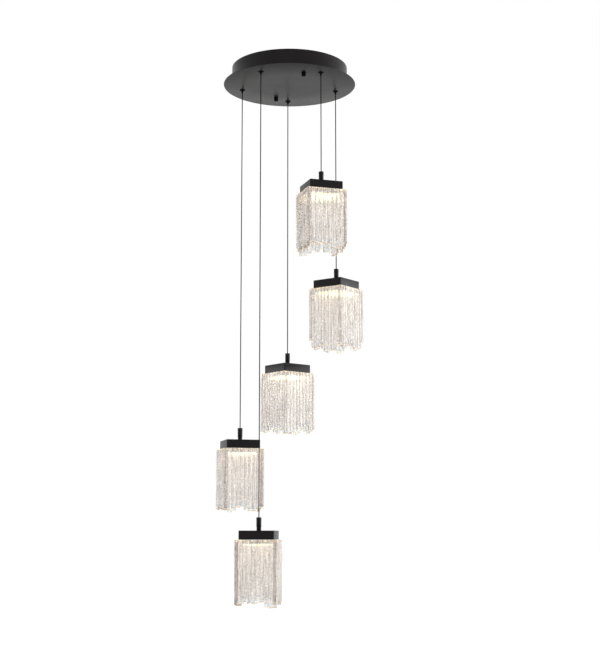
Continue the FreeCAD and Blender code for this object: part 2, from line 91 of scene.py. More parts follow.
def head_place(pendant):
    """The matrix that takes a piece drawn in millimetres about its cord to its place in the lamp."""
    turned = Matrix.Rotation(math.radians(TURN[pendant]), 4, "Z")
    return Matrix.Translation(hang_point(pendant) * MM) @ turned @ SHRINK


for pendant in PENDANTS:
    print("pendant", pendant, "cap top at", [round(v) for v in hang_point(pendant)], "mm")

# %% [markdown]
# ## The camera
# The photograph was taken from a little below the lamp's middle, looking slightly up, so the canopy
# shows its underside and the caps hide their tops. A fit to the edges in the picture gave a point
# 3.9 m away and a lens of 73 mm. The camera is made first.

# %% Camera


def new_object(name, data):
    """Puts an object into the scene, at the origin, unturned and unscaled."""
    thing = bpy.data.objects.new(name, data)
    bpy.context.scene.collection.objects.link(thing)
    return thing


camera_data = bpy.data.cameras.new("camera")
camera_data.lens = 73.16
camera_data.sensor_width = 36
camera_data.clip_end = 60
camera = new_object("camera", camera_data)
camera.location = (-1.3403, -3.6936, -1.4112)
camera.rotation_euler = (math.radians(98.75), 0, math.radians(-20.41))
bpy.context.scene.camera = camera
bpy.context.scene.view_settings.view_transform = "Standard"
print("camera at", [round(v, 3) for v in camera.location], "m")

# %% [markdown]
# ## One function for nodes
# Materials and Geometry Nodes are both trees of nodes. One small function adds a node, sets it up and
# links it: an input that is given a socket is linked, and any other value is simply set. Math and Mix
# nodes have several inputs of one name, so theirs are given by number. In a Mix node, 0 is the share, 2
# and 3 are the two numbers, and 6 and 7 the two colours.

# %% Add a node


def add(tree, kind, inputs=None, **settings):
    """Adds a node of a kind to a tree, with its settings, its values and its links."""
    node = tree.nodes.new(kind)
    for name, value in settings.items():
        setattr(node, name, value)
    for name, value in (inputs or {}).items():
        if isinstance(value, bpy.types.NodeSocket):
            tree.links.new(value, node.inputs[name])
        else:
            node.inputs[name].default_value = value
    return node


def linear(text):
    """A colour given as sRGB hex, as the linear numbers that shaders use."""
    values = [int(text[i : i + 2], 16) / 255 for i in (0, 2, 4)]
    return tuple(v / 12.92 if v <= 0.04045 else ((v + 0.055) / 1.055) ** 2.4 for v in values) + (1,)


def new_material(name):
    """An empty node material: its tree, its output and a reading of Object coordinates."""
    material = bpy.data.materials.new(name)
    material.use_nodes = True
    tree = material.node_tree
    tree.nodes.clear()
    output = add(tree, "ShaderNodeOutputMaterial")
    place = add(tree, "ShaderNodeTexCoord").outputs["Object"]
    return material, tree, output, place


print("a grey of 808080 is", round(linear("808080")[0], 3), "in linear light")

# %% [markdown]
# ## Satin black powder coat
# Powder coat is sprayed on dry and baked, so it flows into a skin with a very fine orange peel. Its
# black is nearly neutral. It is a dielectric, so it is dark where it faces us and shines where we look
# along it: the underside of the disc turns grey because it mirrors the pale floor, and the cap's sides
# do the same. Paint has an index of refraction near 1.5, which made it too grey here, so it was brought
# down to 1.225. The peel's real grain is about 0.3 mm, which is too fine to show, so it is drawn
# 1.2 mm wide and very low.

# %% Powder coat
powder_coat, tree, output, place = new_material("satin_black_powder_coat")
cloud = add(tree, "ShaderNodeTexNoise", {"Vector": place, "Scale": 1 / (60 * MM), "Detail": 2.0})
gloss = add(tree, "ShaderNodeMapRange", {"Value": cloud.outputs["Fac"], "To Min": 0.3, "To Max": 0.38})
tone = add(tree, "ShaderNodeValToRGB", {"Fac": cloud.outputs["Fac"]})
tone.color_ramp.elements[0].color = linear("110e0f")
tone.color_ramp.elements[1].color = linear("181516")
peel = add(tree, "ShaderNodeTexNoise", {"Vector": place, "Scale": 1 / (1.2 * MM), "Detail": 1.0})
bump = add(tree, "ShaderNodeBump", {"Height": peel.outputs["Fac"], "Strength": 0.05, "Distance": 0.1 * MM})
coat = add(tree, "ShaderNodeBsdfPrincipled", {
    "Base Color": tone.outputs["Color"], "Roughness": gloss.outputs["Result"], "IOR": 1.225,
    "Normal": bump.outputs["Normal"],
})
tree.links.new(coat.outputs["BSDF"], output.inputs["Surface"])
print("made", powder_coat.name)

# %% [markdown]
# ## Blackened fittings
# The closed nuts and the cord grips are small turned pieces, dipped in a blackening bath instead of
# sprayed. The bath leaves a deep, almost matt black, so they stand out against the grey sheen of the
# disc. A bath's thin oxide mirrors very little, so its index is low. Its fine mottling follows the grain
# of the steel, about 1 mm.

# %% Blackened steel
blackened, tree, output, place = new_material("blackened_steel")
bath = add(tree, "ShaderNodeTexNoise", {"Vector": place, "Scale": 1 / (1 * MM), "Detail": 2.0})
tone = add(tree, "ShaderNodeValToRGB", {"Fac": bath.outputs["Fac"]})
tone.color_ramp.elements[0].color = linear("050505")
tone.color_ramp.elements[1].color = linear("0d0c0d")
gloss = add(tree, "ShaderNodeMapRange", {"Value": bath.outputs["Fac"], "To Min": 0.45, "To Max": 0.6})
oxide = add(tree, "ShaderNodeBsdfPrincipled", {
    "Base Color": tone.outputs["Color"], "Roughness": gloss.outputs["Result"], "IOR": 1.1,
})
tree.links.new(oxide.outputs["BSDF"], output.inputs["Surface"])
print("made", blackened.name)

# %% [markdown]
# ## Zinc-plated steel and bright aluminium
# The crossbar, its studs and the spacers are cheap steel with a thin coat of zinc. Zinc has a cool,
# cloudy shine with small flakes a few millimetres wide. The carrier and the light's tray are pressed
# aluminium, which is brighter and shows faint lines along the direction in which the sheet was rolled.

# %% Zinc and aluminium
zinc, tree, output, place = new_material("zinc_plated_steel")
flakes = add(tree, "ShaderNodeTexVoronoi", {"Vector": place, "Scale": 1 / (4 * MM)})
tint = add(tree, "ShaderNodeValToRGB", {"Fac": flakes.outputs["Distance"]})
tint.color_ramp.elements[0].color = linear("c4c8cc")
tint.color_ramp.elements[1].color = linear("a9adb2")
gloss = add(tree, "ShaderNodeMapRange", {"Value": flakes.outputs["Distance"], "To Min": 0.28, "To Max": 0.42})
metal = add(tree, "ShaderNodeBsdfPrincipled", {
    "Base Color": tint.outputs["Color"], "Metallic": 1.0, "Roughness": gloss.outputs["Result"],
})
tree.links.new(metal.outputs["BSDF"], output.inputs["Surface"])

aluminium, tree, output, place = new_material("pressed_aluminium")
along = add(tree, "ShaderNodeMapping", {"Vector": place, "Scale": (1.0, 0.04, 1.0)})
lines = add(tree, "ShaderNodeTexNoise", {"Vector": along.outputs["Vector"], "Scale": 1 / (0.8 * MM)})
tint = add(tree, "ShaderNodeValToRGB", {"Fac": lines.outputs["Fac"]})
tint.color_ramp.elements[0].color = linear("d6d7d9")
tint.color_ramp.elements[1].color = linear("e6e6e7")
gloss = add(tree, "ShaderNodeMapRange", {"Value": lines.outputs["Fac"], "To Min": 0.25, "To Max": 0.4})
metal = add(tree, "ShaderNodeBsdfPrincipled", {
    "Base Color": tint.outputs["Color"], "Metallic": 1.0, "Roughness": gloss.outputs["Result"],
})
tree.links.new(metal.outputs["BSDF"], output.inputs["Surface"])
print("made", zinc.name, aluminium.name)

# %% [markdown]
# ## White moulded plastic, circuit board and brass
# The driver's housing and the terminal block are moulded in white ABS with a fine spark-eroded grain,
# about 0.5 mm wide, which takes the shine off it. The LED board's white solder mask looks much the same
# and shares it. The terminal block's screws are plain brass: a warm yellow, rubbed paler in patches of
# about 2 mm.

# %% White plastic
white_abs, tree, output, place = new_material("moulded_white_abs")
grain = add(tree, "ShaderNodeTexNoise", {"Vector": place, "Scale": 1 / (0.5 * MM), "Detail": 1.0})
cloud = add(tree, "ShaderNodeTexNoise", {"Vector": place, "Scale": 1 / (30 * MM)})
tint = add(tree, "ShaderNodeValToRGB", {"Fac": cloud.outputs["Fac"]})
tint.color_ramp.elements[0].color = linear("e4e4e1")
tint.color_ramp.elements[1].color = linear("ecece9")
bump = add(tree, "ShaderNodeBump", {"Height": grain.outputs["Fac"], "Strength": 0.25, "Distance": 0.05 * MM})
plastic = add(tree, "ShaderNodeBsdfPrincipled", {
    "Base Color": tint.outputs["Color"], "Roughness": 0.5, "IOR": 1.53, "Normal": bump.outputs["Normal"],
})
tree.links.new(plastic.outputs["BSDF"], output.inputs["Surface"])

brass, tree, output, place = new_material("plain_brass")
wear = add(tree, "ShaderNodeTexNoise", {"Vector": place, "Scale": 1 / (2 * MM)})
tint = add(tree, "ShaderNodeValToRGB", {"Fac": wear.outputs["Fac"]})
tint.color_ramp.elements[0].color = linear("c9a75c")
tint.color_ramp.elements[1].color = linear("dcbf78")
metal = add(tree, "ShaderNodeBsdfPrincipled", {
    "Base Color": tint.outputs["Color"], "Metallic": 1.0, "Roughness": 0.3,
})
tree.links.new(metal.outputs["BSDF"], output.inputs["Surface"])
print("made", white_abs.name, brass.name)

# %% [markdown]
# ## Black cord
# The cords have a smooth extruded sheath of black PVC. Where it went through the die it has faint,
# duller rings, about 6 mm apart. A cord is thin and round, so most of what it mirrors is the bright
# studio. Its index was lowered until it stayed as black as in the photograph.

# %% Cord sheath
sheath, tree, output, place = new_material("extruded_black_pvc")
rings = add(tree, "ShaderNodeTexNoise", {"Vector": place, "Scale": 1 / (6 * MM), "Detail": 2.0})
tint = add(tree, "ShaderNodeValToRGB", {"Fac": rings.outputs["Fac"]})
tint.color_ramp.elements[0].color = linear("0e0d0e")
tint.color_ramp.elements[1].color = linear("151415")
gloss = add(tree, "ShaderNodeMapRange", {"Value": rings.outputs["Fac"], "To Min": 0.42, "To Max": 0.52})
skin = add(tree, "ShaderNodeBsdfPrincipled", {
    "Base Color": tint.outputs["Color"], "Roughness": gloss.outputs["Result"], "IOR": 1.12,
})
tree.links.new(skin.outputs["BSDF"], output.inputs["Surface"])
print("made", sheath.name)

# %% [markdown]
# ## Opal acrylic, lit from behind
# The glowing square is a shallow box of opal acrylic over the LED board. White pigment scatters the
# light so well that the sheet looks evenly bright and slightly warm. The LEDs behind it stand in a grid
# 9 mm apart, and a trace of each still shows, so the glow gets a soft pattern of that pitch.

# %% Opal acrylic
opal, tree, output, place = new_material("lit_opal_acrylic")
grid = add(tree, "ShaderNodeTexVoronoi", {"Vector": place, "Scale": 1 / (9 * MM), "Randomness": 0.0})
glow = add(tree, "ShaderNodeValToRGB", {"Fac": grid.outputs["Distance"]})
glow.color_ramp.elements[0].color = linear("fff2c6")
glow.color_ramp.elements[1].color = linear("ffeab2")
acrylic = add(tree, "ShaderNodeBsdfPrincipled", {
    "Base Color": linear("f4f0e6"), "Roughness": 0.25, "IOR": 1.49,
    "Emission Color": glow.outputs["Color"], "Emission Strength": 2.6,
})
tree.links.new(acrylic.outputs["BSDF"], output.inputs["Surface"])
print("made", opal.name)

# %% [markdown]
# ## Clear glass, full of seeds
# The rods are drawn from clear soda-lime glass and melted together side by side. Tiny bubbles, which
# glassmakers call seeds, fill them, so each rod sparkles like crushed ice and only its snapped end is
# really clear. Three attributes, which the rods get further down, say where a point is: how far it is
# above its rod's end, how far below its top, and how near to the seam with the next rod.
# Two patterns make the glass. Seeds are round specks, and streaks are specks that were drawn out along
# the rod to some seventeen times their width. Real seeds are about 0.5 mm wide and real streaks about
# 1 mm. Here they are 2.4 mm and 3.2 mm, so that they show.

# %% Seeds, streaks and seams
rod_glass, tree, output, place = new_material("seeded_soda_lime_glass")
to_end = add(tree, "ShaderNodeAttribute", attribute_name="to_end").outputs["Fac"]
from_top = add(tree, "ShaderNodeAttribute", attribute_name="from_top").outputs["Fac"]
across = add(tree, "ShaderNodeAttribute", attribute_name="across").outputs["Fac"]
drawn = add(tree, "ShaderNodeMapping", {"Vector": place, "Scale": (1.0, 1.0, 0.06)})
streaks = add(tree, "ShaderNodeTexNoise", {
    "Vector": drawn.outputs["Vector"], "Scale": 1 / (3.2 * MM), "Detail": 1.0, "Roughness": 0.5,
})
seeds = add(tree, "ShaderNodeTexNoise", {
    "Vector": place, "Scale": 1 / (2.4 * MM), "Detail": 1.0, "Roughness": 0.6,
})
grain = add(tree, "ShaderNodeMix", {0: 0.28, 2: streaks.outputs["Fac"], 3: seeds.outputs["Fac"]}).outputs[0]
bump = add(tree, "ShaderNodeBump", {"Height": grain, "Strength": 0.55, "Distance": 1.8 * MM})
# Painted shade: this mask darkens the glass colour near each seam between rods.
seam = add(tree, "ShaderNodeMapRange", {
    "Value": across, "From Min": 0.8, "From Max": 0.96, "To Min": 0.0, "To Max": 0.65,
})
print("patterns in the glass:", len(tree.nodes), "nodes so far")

# %% [markdown]
# The colours follow from the same patterns. A seam between two rods traps light, so a painted shade
# turns it a warm grey. A streak is a shade darker than the glass beside it, and the clear ends look a
# little blue, with a painted warm highlight along the rim where it would catch the warm light.

# %% Colours of the glass
body_colour = add(tree, "ShaderNodeValToRGB", {"Fac": grain})
body_colour.color_ramp.elements[0].position = 0.4
body_colour.color_ramp.elements[1].position = 0.55
body_colour.color_ramp.elements[0].color = linear("d3cfce")
body_colour.color_ramp.elements[1].color = linear("fdfcfb")
endwards = add(tree, "ShaderNodeMapRange", {
    "Value": to_end, "From Min": 6 * MM, "From Max": 16 * MM, "To Min": 0.7, "To Max": 0.0,
})
cooler = add(tree, "ShaderNodeMix", {
    0: endwards.outputs["Result"], 6: body_colour.outputs["Color"], 7: linear("d6dfe8"),
}, data_type="RGBA")
# Painted shade at the seams, mixed into the glass colour.
seam_shaded = add(tree, "ShaderNodeMix", {
    0: seam.outputs["Result"], 6: cooler.outputs[2], 7: linear("b0a294"),
}, data_type="RGBA")
# Painted highlight: a warm gold is mixed into the colour along each rod's snapped rim.
rim = add(tree, "ShaderNodeMapRange", {
    "Value": to_end, "From Min": 0.5 * MM, "From Max": 3 * MM, "To Min": 0.8, "To Max": 0.0,
})
rim_highlighted = add(tree, "ShaderNodeMix", {
    0: rim.outputs["Result"], 6: seam_shaded.outputs[2], 7: linear("cfb891"),
}, data_type="RGBA")
glass_colour = rim_highlighted.outputs[2]
print("colours of the glass:", len(tree.nodes), "nodes so far")

# %% [markdown]
# Three shaders share the surface. The first is plain glass, made uneven by seeds and streaks. The second
# stands for the seeds: it scatters light, some back and some on through. The third is a painted glow, an
# emission that stands for the LED light that runs down inside the rods and leaks out at the seeds, mostly
# near the light and at the snapped ends.

# %% Shaders of the glass
clear = add(tree, "ShaderNodeBsdfPrincipled", {
    "Base Color": glass_colour, "Roughness": 0.03, "IOR": 1.5, "Transmission Weight": 1.0,
    "Normal": bump.outputs["Normal"],
})
back = add(tree, "ShaderNodeBsdfDiffuse", {"Color": glass_colour, "Normal": bump.outputs["Normal"]})
through = add(tree, "ShaderNodeBsdfTranslucent", {"Color": glass_colour, "Normal": bump.outputs["Normal"]})
scatter = add(tree, "ShaderNodeMixShader", {0: 0.5, 1: back.outputs["BSDF"], 2: through.outputs["BSDF"]})
cloudy = add(tree, "ShaderNodeMapRange", {
    "Value": seeds.outputs["Fac"], "From Min": 0.42, "From Max": 0.58, "To Min": 0.05, "To Max": 0.65,
})
clearing = add(tree, "ShaderNodeMapRange", {
    "Value": to_end, "From Min": 5 * MM, "From Max": 16 * MM, "To Min": 0.35, "To Max": 1.0,
})
share = add(tree, "ShaderNodeMath", {
    0: cloudy.outputs["Result"], 1: clearing.outputs["Result"],
}, operation="MULTIPLY")
mixed = add(tree, "ShaderNodeMixShader", {
    0: share.outputs["Value"], 1: clear.outputs["BSDF"], 2: scatter.outputs["Shader"],
})
# Painted glints: this emission makes the glass itself glow in small warm spots, though it is no lamp.
glints = add(tree, "ShaderNodeTexNoise", {"Vector": place, "Scale": 1 / (2.8 * MM), "Detail": 1.0})
few = add(tree, "ShaderNodeMapRange", {
    "Value": glints.outputs["Fac"], "From Min": 0.54, "From Max": 0.64, "To Min": 0.0, "To Max": 1.0,
})
at_end = add(tree, "ShaderNodeMapRange", {
    "Value": to_end, "From Min": 0.0, "From Max": 8 * MM, "To Min": 0.6, "To Max": 0.25,
})
at_top = add(tree, "ShaderNodeMapRange", {
    "Value": from_top, "From Min": 0.0, "From Max": 8 * MM, "To Min": 0.6, "To Max": 0.0,
})
nearness = add(tree, "ShaderNodeMath", {
    0: at_end.outputs["Result"], 1: at_top.outputs["Result"],
}, operation="ADD")
leak = add(tree, "ShaderNodeMath", {0: nearness.outputs[0], 1: few.outputs["Result"]}, operation="MULTIPLY")
glow_colour = add(tree, "ShaderNodeValToRGB", {"Fac": nearness.outputs[0]})
glow_colour.color_ramp.elements[0].position = 0.25
glow_colour.color_ramp.elements[1].position = 0.5
glow_colour.color_ramp.elements[0].color = linear("fff6ee")
glow_colour.color_ramp.elements[1].color = linear("ffe3b0")
light = add(tree, "ShaderNodeEmission", {"Color": glow_colour.outputs["Color"], "Strength": leak.outputs[0]})
lit = add(tree, "ShaderNodeAddShader", {0: mixed.outputs["Shader"], 1: light.outputs["Emission"]})
tree.links.new(lit.outputs["Shader"], output.inputs["Surface"])
print("made", rod_glass.name)

# %% [markdown]
# ## Helpers that finish a piece
# Every piece ends in the same way, so four helpers say it once. `smooth_mesh` cleans a mesh and shades
# it, `evaluated_mesh` reads what modifiers or a curve's settings make of an object, `dress` parents a
# piece to an empty named for the body that carries it and hides the CAD nodes it stands for, and `settle`
# makes the object and dresses it. The object itself stays at the origin, because its place goes into its
# mesh.

# %% Finish a piece


def smooth_mesh(bm, name, sharp=35):
    """Merges doubles, turns the faces outwards and shades them smooth, with crisp edges."""
    bmesh.ops.remove_doubles(bm, verts=bm.verts, dist=1e-5)
    bmesh.ops.recalc_face_normals(bm, faces=bm.faces)
    mesh = bpy.data.meshes.new(name)
    bm.to_mesh(mesh)
    bm.free()
    mesh.shade_smooth()
    mesh.set_sharp_from_angle(angle=math.radians(sharp))
    return mesh


def evaluated_mesh(thing):
    """A plain mesh of an object as its modifiers, or its curve's settings, leave it."""
    bpy.context.view_layer.update()
    return bpy.data.meshes.new_from_object(thing.evaluated_get(bpy.context.evaluated_depsgraph_get()))


def dress(thing, body, slot, replaces=()):
    """Says what a finished piece rides on and which CAD nodes it stands for. The slot is not used."""
    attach(thing, body)
    if replaces:
        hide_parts(*replaces)
    return thing


def settle(bm, name, material, body, slot, place, replaces=()):
    """Makes the object: its place in its mesh, its finish, and the body on which it rides."""
    mesh = smooth_mesh(bm, name)
    mesh.transform(place)
    mesh.materials.append(material)
    return dress(new_object(name, mesh), body, slot, replaces)


print("helpers:", smooth_mesh.__name__, evaluated_mesh.__name__, dress.__name__, settle.__name__)

# %% [markdown]
# ## Lathe and loft
# Most metal pieces are turned or folded, so two builders cover them. `lathe` spins a half section, given
# as radius and height, round an axis, as a turner's tool does. `loft` joins a stack of closed loops. A
# cap or an opal box is such a stack of rounded squares, and a rod is a stack of its own outline.

# %% Lathe and loft


def lathe(bm, section, steps, closed=False):
    """Spins a section, given as (radius, height), round the Z axis."""
    rings = []
    for radius, height in section:
        if radius < 1e-6:
            rings.append([bm.verts.new((0, 0, height))] * steps)
            continue
        angles = [2 * math.pi * k / steps for k in range(steps)]
        rings.append([bm.verts.new((radius * math.cos(a), radius * math.sin(a), height)) for a in angles])
    last = len(rings) if closed else len(rings) - 1
    for index in range(last):
        low, high = rings[index], rings[(index + 1) % len(rings)]
        for k in range(steps):
            corners = [low[k], low[(k + 1) % steps], high[(k + 1) % steps], high[k]]
            unique = list(dict.fromkeys(corners))
            if len(unique) > 2:
                bm.faces.new(unique)


def rounded_square(half, radius, height, steps=6):
    """Points of a square loop with round corners."""
    points = []
    for quarter, (side_x, side_y) in enumerate(((1, 1), (-1, 1), (-1, -1), (1, -1))):
        for k in range(steps + 1):
            angle = math.pi / 2 * (quarter + k / steps)
            x = side_x * (half - radius) + radius * math.cos(angle)
            y = side_y * (half - radius) + radius * math.sin(angle)
            points.append((x, y, height))
    return points


def loft(bm, loops):
    """Joins closed loops in order, and closes the first and the last with a face."""
    rings = [[bm.verts.new(point) for point in loop] for loop in loops]
    count = len(rings[0])
    for low, high in zip(rings, rings[1:]):
        for k in range(count):
            bm.faces.new((low[k], low[(k + 1) % count], high[(k + 1) % count], high[k]))
    bm.faces.new(rings[0])
    bm.faces.new(rings[-1])


print("a rounded square has", len(rounded_square(CAP_HALF, 3, 0)), "points")

# %% [markdown]
# ## Five cords
# Each head hangs on a round cord, 3 mm thick, which runs straight down from its grip to its sleeve. It
# is taut, so its route is a line: the grip's mouth, one point on the way and the sleeve's top. A NURBS
# curve follows that route, and a tube is made along it as a plain mesh. The real cord shortens when it
# is drawn up through its grip.

# %% Cords
for pendant in PENDANTS:
    x, y, cap_top = hang_point(pendant)
    top = Vector((x, y, GRIP_END)) * MM
    bottom = Vector((x, y, cap_top + SLEEVE_HEIGHT)) * MM
    curve = bpy.data.curves.new(f"route_{pendant}", "CURVE")
    curve.dimensions = "3D"
    curve.resolution_u = 16
    spline = curve.splines.new("NURBS")
    spline.points.add(2)
    for point, spot in zip(spline.points, (top, (top + bottom) / 2, bottom)):
        point.co = (*spot, 1)
    spline.order_u = 3
    spline.use_endpoint_u = True
    route = new_object(f"route_{pendant}", curve)
    path = [tuple(vertex.co) for vertex in evaluated_mesh(route).vertices]
    curve.bevel_depth = CORD_DIAMETER / 2 * MM
    curve.bevel_resolution = 3
    curve.use_fill_caps = True
    bm = bmesh.new()
    bm.from_mesh(evaluated_mesh(route))
    bpy.data.objects.remove(route)
    tube = smooth_mesh(bm, f"round_cord_{pendant}", sharp=60)
    tube.materials.append(sheath)
    cord = new_object(f"round_cord_{pendant}", tube)
    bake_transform(cord)
    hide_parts(f"cord_{pendant}")
    length = (top - bottom).length
    print("cord", pendant, round(length / MM, 1), "mm,", len(path), "points")

# %% [markdown]
# ## The canopy's drum and disc
# The drum is a strip of steel, rolled to a ring and seam-welded to a wide disc. Nothing about it is
# decorative, so its quality is in its edges: the disc's rim is deburred, the drum's upper edge is cut
# clean, and a thin bead of weld and paint fills the corner where they meet. Both are lathe work. The
# disc has two holes for the studs, which a Boolean modifier cuts.

# %% Drum and disc
ROUND_STEPS = 256
BREAK, BEAD = 0.3, 0.9  # broken edges, and the bead of weld and paint
bm = bmesh.new()
inside = DRUM_RADIUS - DRUM_WALL
lathe(bm, (
    (DRUM_RADIUS - BREAK, 0), (DRUM_RADIUS, -BREAK), (DRUM_RADIUS, DISC_TOP + BEAD),
    (DRUM_RADIUS + BREAK, DISC_TOP + 0.3), (DRUM_RADIUS + BEAD, DISC_TOP), (inside - 0.4, DISC_TOP),
    (inside, DISC_TOP + 0.5), (inside, -BREAK), (inside + BREAK, 0),
), ROUND_STEPS, closed=True)
settle(bm, "rolled_drum", powder_coat, "canopy", "black_metal", SHRINK, ["canopy_drum"])

bm = bmesh.new()
lathe(bm, (
    (0, DISC_TOP), (100, DISC_TOP), (DISC_RADIUS - 0.7, DISC_TOP), (DISC_RADIUS - 0.2, DISC_TOP - 0.2),
    (DISC_RADIUS, DISC_TOP - 0.7), (DISC_RADIUS, DISC_UNDER + 0.7), (DISC_RADIUS - 0.2, DISC_UNDER + 0.2),
    (DISC_RADIUS - 0.7, DISC_UNDER), (100, DISC_UNDER), (0, DISC_UNDER),
), ROUND_STEPS)
disc = settle(bm, "wide_disc", powder_coat, "canopy", "black_metal", SHRINK, ["canopy_plate"])

HOLE_RADIUS = 2.25
for side in (1, -1):
    bm = bmesh.new()
    bmesh.ops.create_cone(bm, cap_ends=True, segments=48, radius1=HOLE_RADIUS, radius2=HOLE_RADIUS, depth=10)
    drill_mesh = bpy.data.meshes.new("drill")
    bm.to_mesh(drill_mesh)
    bm.free()
    drill_mesh.transform(Matrix.Translation((0, STUD_Y * side * MM, (DISC_TOP - 1) * MM)) @ SHRINK)
    drill = new_object("drill", drill_mesh)
    hole = disc.modifiers.new("hole", "BOOLEAN")
    hole.operation = "DIFFERENCE"
    hole.solver = "EXACT"
    hole.object = drill
    cut = evaluated_mesh(disc)
    disc.modifiers.remove(hole)
    disc.data = cut
    bpy.data.objects.remove(drill)
disc.data.name = "wide_disc"
print("drum and disc:", len(disc.data.vertices), "points in the disc")

# %% [markdown]
# ## Closed nuts
# Two closed nuts show under the disc. A turned dome closes the lower end, which hides the stud's thread.
# Inside is the blind bore that takes the stud. The half section is drawn once and spun.

# %% Closed nuts
NUT_RADIUS, NUT_END, BORE_RADIUS, BORE_END, DOME = 6.5, -63.5, 2.05, -60.2, 2.6
angles = [math.radians(15 * k) for k in range(7)]
dome = [(NUT_RADIUS - DOME * (1 - math.cos(a)), NUT_END + DOME * (1 - math.sin(a))) for a in angles]
outside = [(BORE_RADIUS, DISC_UNDER), (NUT_RADIUS - 0.3, DISC_UNDER), (NUT_RADIUS, DISC_UNDER - 0.3)]
for side, name in ((1, "closed_nut_front"), (-1, "closed_nut_back")):
    bm = bmesh.new()
    lathe(bm, outside + dome + [(0, NUT_END)], 48)
    lathe(bm, [(BORE_RADIUS, DISC_UNDER), (BORE_RADIUS, BORE_END), (0, BORE_END)], 48)
    spot = Matrix.Translation((0, STUD_Y * side * MM, 0)) @ SHRINK
    nut = settle(bm, name, blackened, "canopy", "black_metal", spot)
    if side == 1:  # the CAD model has both nuts in one node, so one piece stands for it
        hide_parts("cap_nuts")
print("two closed nuts")

# %% [markdown]
# ## One cord grip
# Each cord leaves the disc through a small turned grip: a thin flange, a shallow cone and a neck that
# tightens on the cord. One grip is lathe work, from the middle of its flange down to its mouth.

# %% One grip
bm = bmesh.new()
lathe(bm, [
    (0, 0), (8.3, 0), (8.5, -0.2), (8.5, -0.9), (8.2, -1.2), (5.4, -2.3), (3.4, -2.5), (3.0, -2.9),
    (3.0, -4.6), (2.8, -4.8), (3.0, -5.0), (2.7, -8.2), (2.3, -9.1), (1.9, -9.5), (0, -9.5),
], 40)
grip_mesh = smooth_mesh(bm, "one_grip")
grip_mesh.transform(SHRINK)
one_grip = new_object("one_grip", grip_mesh)
print("one grip:", len(grip_mesh.polygons), "faces")

# %% [markdown]
# ## Two helpers for Geometry Nodes
# A tree of Geometry Nodes is a rule with named inputs. `new_tree` makes an empty one. `grow` hangs it on
# a mesh as a modifier, sets each input by its identifier and keeps the result as a plain mesh, so no
# modifier is left on the piece.

# %% Trees that make geometry


def new_tree(name, inputs):
    """A Geometry Nodes tree with named inputs. Returns it with its group input and output nodes."""
    tree = bpy.data.node_groups.new(name, "GeometryNodeTree")
    tree.interface.new_socket("Geometry", in_out="INPUT", socket_type="NodeSocketGeometry")
    for label, kind in inputs:
        tree.interface.new_socket(label, in_out="INPUT", socket_type=kind)
    tree.interface.new_socket("Geometry", in_out="OUTPUT", socket_type="NodeSocketGeometry")
    return tree, add(tree, "NodeGroupInput"), add(tree, "NodeGroupOutput")


def grow(name, mesh, tree, values):
    """Runs a tree on a mesh with the given inputs and returns the result as a plain mesh object."""
    start = new_object(name + "_start", mesh)
    modifier = start.modifiers.new("nodes", "NODES")
    modifier.node_group = tree
    for item in tree.interface.items_tree:
        if item.in_out == "INPUT" and item.name in values:
            modifier[item.identifier] = values[item.name]
    grown = evaluated_mesh(start)
    bpy.data.objects.remove(start)
    grown.name = name
    return new_object(name, grown)


print("helpers:", new_tree.__name__, grow.__name__)

# %% [markdown]
# ## Five grips on a circle
# The five grips stand evenly on a circle, which is a rule, so a node tree places them: a circle of five
# points, one instance on each, then real geometry. The first point is on the X axis, above pendant 2.

# %% Cord grips
ring, given, result = new_tree("pieces_on_a_circle", (
    ("Piece", "NodeSocketObject"), ("Count", "NodeSocketInt"), ("Radius", "NodeSocketFloat"),
    ("Height", "NodeSocketFloat"), ("Finish", "NodeSocketMaterial"),
))
circle = add(ring, "GeometryNodeMeshCircle", {
    "Vertices": given.outputs["Count"], "Radius": given.outputs["Radius"],
})
lift = add(ring, "ShaderNodeCombineXYZ", {"Z": given.outputs["Height"]})
raised = add(ring, "GeometryNodeTransform", {
    "Geometry": circle.outputs["Mesh"], "Translation": lift.outputs[0],
})
piece = add(ring, "GeometryNodeObjectInfo", {"Object": given.outputs["Piece"]})
copies = add(ring, "GeometryNodeInstanceOnPoints", {
    "Points": raised.outputs["Geometry"], "Instance": piece.outputs["Geometry"],
})
real = add(ring, "GeometryNodeRealizeInstances", {"Geometry": copies.outputs["Instances"]})
painted = add(ring, "GeometryNodeSetMaterial", {
    "Geometry": real.outputs["Geometry"], "Material": given.outputs["Finish"],
})
ring.links.new(painted.outputs["Geometry"], result.inputs["Geometry"])

grips = grow("turned_grips", bpy.data.meshes.new("nothing"), ring, {
    "Piece": one_grip, "Count": len(PENDANTS), "Radius": CORD_CIRCLE * MM, "Height": DISC_UNDER * MM,
    "Finish": blackened,
})
bpy.data.objects.remove(one_grip)
dress(grips, "canopy", "black_metal", ["cord_grips"])
print("grips:", len(grips.data.polygons), "faces")

# %% [markdown]
# ## Sleeves
# A turned steel sleeve clamps the end of each cord and stands on the cap. It tapers a little, its upper
# edge is rounded, and its lowest centimetre is a narrower collar on which the head turns.

# %% Sleeves
for pendant in PENDANTS:
    bm = bmesh.new()
    lathe(bm, [
        (0, SLEEVE_HEIGHT), (1.9, SLEEVE_HEIGHT), (2.3, 36.6), (4.6, 36.9), (6.6, 36.9), (7.2, 36.5),
        (7.4, 35.8), (7.12, 10.4), (6.9, 10.05), (6.62, 9.9), (6.62, 0.5), (6.4, 0), (0, 0),
    ], 64)
    settle(bm, f"turned_sleeve_{pendant}", powder_coat, f"sleeve_{pendant}", "black_metal",
           Matrix.Translation(hang_point(pendant) * MM) @ SHRINK, [f"sleeve_{pendant}"])
print("five sleeves")

# %% [markdown]
# ## Square caps
# Each cap is folded from 1.6 mm steel and welded, so its upright edges are round, with a radius of
# 3 mm, while the top edge is only broken. It is open below, where the carrier closes it. A stack of
# rounded squares gives the whole shell: down the inside, under the rim and up the outside.

